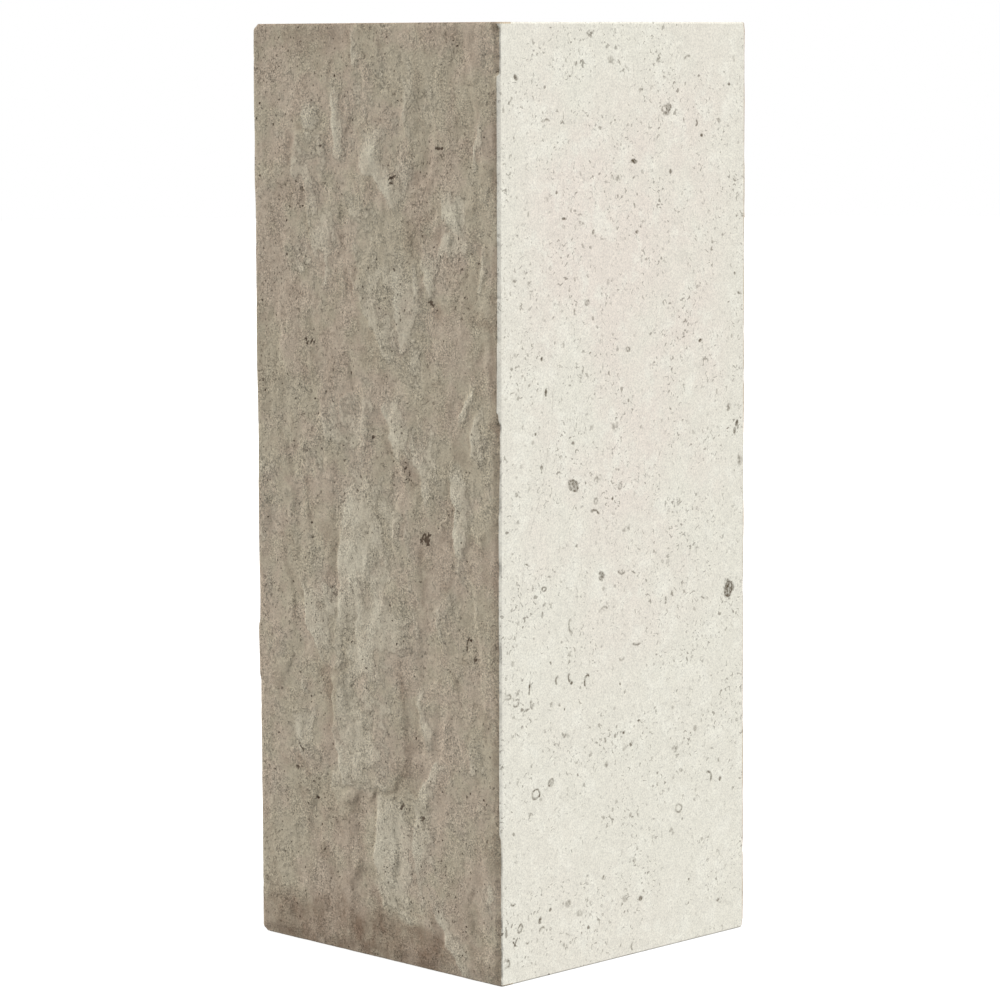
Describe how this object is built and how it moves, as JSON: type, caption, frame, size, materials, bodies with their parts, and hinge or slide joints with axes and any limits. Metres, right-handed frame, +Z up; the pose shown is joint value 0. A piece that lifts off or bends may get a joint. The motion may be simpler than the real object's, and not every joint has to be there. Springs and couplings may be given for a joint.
{
  "type": "limestone pedestal",
  "caption": "Square limestone block pedestal, taller than wide, with a flat honed top, two honed sides and two riven sides, standing on its sawn base.",
  "frame": {"origin": "middle of the base", "axes": "+Z up along the height, -Y out of the front riven face, +X out of the honed face beside it"},
  "size_m": [0.305, 0.317, 0.813],
  "materials": {
    "limestone": "cream shell limestone, honed on the top and two sides, riven and a little browner on the other two"
  },
  "bodies": {
    "root": {"pedestal_block": "limestone"}
  },
  "joints": []
}
